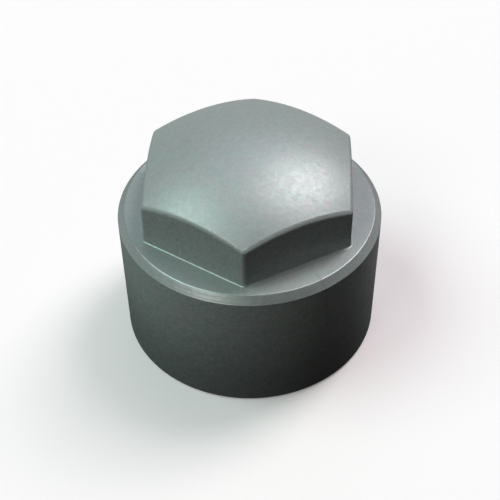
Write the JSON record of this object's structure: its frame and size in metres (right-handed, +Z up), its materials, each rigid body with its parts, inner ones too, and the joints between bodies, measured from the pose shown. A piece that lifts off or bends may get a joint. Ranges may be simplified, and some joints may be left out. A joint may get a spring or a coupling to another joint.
{
  "type": "wheel nut cover cap",
  "caption": "Moulded plastic cap that pushes over a hexagon wheel nut: a round ribbed skirt with a chamfered ledge, closed by a smaller six-sided head with a domed top.",
  "frame": {"origin": "centre of the open rim, on the plane that the cap stands on", "axes": "+Z up the cap's axis towards the dome; a corner of the six-sided head points along -Y and two of its flats face +X and -X"},
  "size_m": [0.026, 0.026, 0.0222],
  "materials": {
    "silver_plastic": "satin silver grey with a fine metallic fleck"
  },
  "bodies": {
    "root": {"cover_cap": "silver_plastic"}
  },
  "joints": []
}
